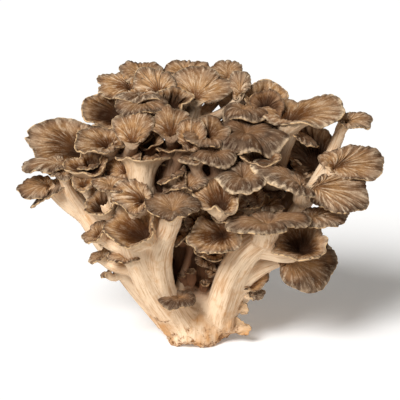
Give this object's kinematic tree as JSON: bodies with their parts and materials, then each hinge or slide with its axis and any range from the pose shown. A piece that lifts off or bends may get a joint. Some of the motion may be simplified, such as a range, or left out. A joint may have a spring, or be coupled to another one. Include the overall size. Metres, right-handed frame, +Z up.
{
  "type": "maitake mushroom",
  "caption": "Cut cluster of hen-of-the-woods: a pale branching base with a flat cut, carrying overlapping brown fan-shaped fronds.",
  "frame": {"origin": "centre of the flat cut that the mushroom stands on", "axes": "+Z up through the cluster, +X to the right and -Y to the front, where the fronds are fullest"},
  "size_m": [0.2009, 0.1409, 0.1537],
  "materials": {
    "stem_flesh": "cream fibrous flesh, matte, streaked tan along the stems",
    "cap_skin": "brown felted skin, matte, with radial fibres and a pale edge"
  },
  "bodies": {
    "root": {"cap_backLeft_1": "cap_skin", "cap_backLeft_2": "cap_skin", "cap_backLeft_3": "cap_skin", "cap_backLeft_4": "cap_skin", "cap_backLeft_5": "cap_skin", "cap_backRight_1": "cap_skin", "cap_backRight_2": "cap_skin", "cap_backRight_3": "cap_skin", "cap_backRight_4": "cap_skin", "cap_backRight_5": "cap_skin", "cap_backRight_6": "cap_skin", "cap_back_1": "cap_skin", "cap_back_2": "cap_skin", "cap_back_3": "cap_skin", "cap_centre_1": "cap_skin", "cap_centre_2": "cap_skin", "cap_centre_4": "cap_skin", "cap_farRight_2": "cap_skin", "cap_farRight_3": "cap_skin", "cap_farRight_4": "cap_skin", "cap_farRight_5": "cap_skin", "cap_farRight_6": "cap_skin", "cap_leftFront_1": "cap_skin", "cap_leftFront_5": "cap_skin", "cap_leftFront_6": "cap_skin", "cap_left_1": "cap_skin", "cap_left_2": "cap_skin", "cap_left_3": "cap_skin", "cap_lowRight_1": "cap_skin", "cap_midFront_2": "cap_skin", "cap_midFront_4": "cap_skin", "cap_midFront_5": "cap_skin", "cap_midFront_6": "cap_skin", "cap_midFront_7": "cap_skin", "cap_right_1": "cap_skin", "cap_right_2": "cap_skin", "cap_topLeft_1": "cap_skin", "cap_topLeft_2": "cap_skin", "cap_topLeft_3": "cap_skin", "cap_topLeft_4": "cap_skin", "cap_topLeft_6": "cap_skin", "cap_topLeft_7": "cap_skin", "cap_topLeft_8": "cap_skin", "cap_topMiddle_1": "cap_skin", "cap_topMiddle_3": "cap_skin", "cap_topMiddle_4": "cap_skin", "cap_topMiddle_5": "cap_skin", "cap_topMiddle_8": "cap_skin", "cap_topRight_1": "cap_skin", "cap_topRight_2": "cap_skin", "cap_topRight_3": "cap_skin", "cap_topRight_4": "cap_skin", "cap_topRight_5": "cap_skin", "stems": "stem_flesh"}
  },
  "joints": []
}
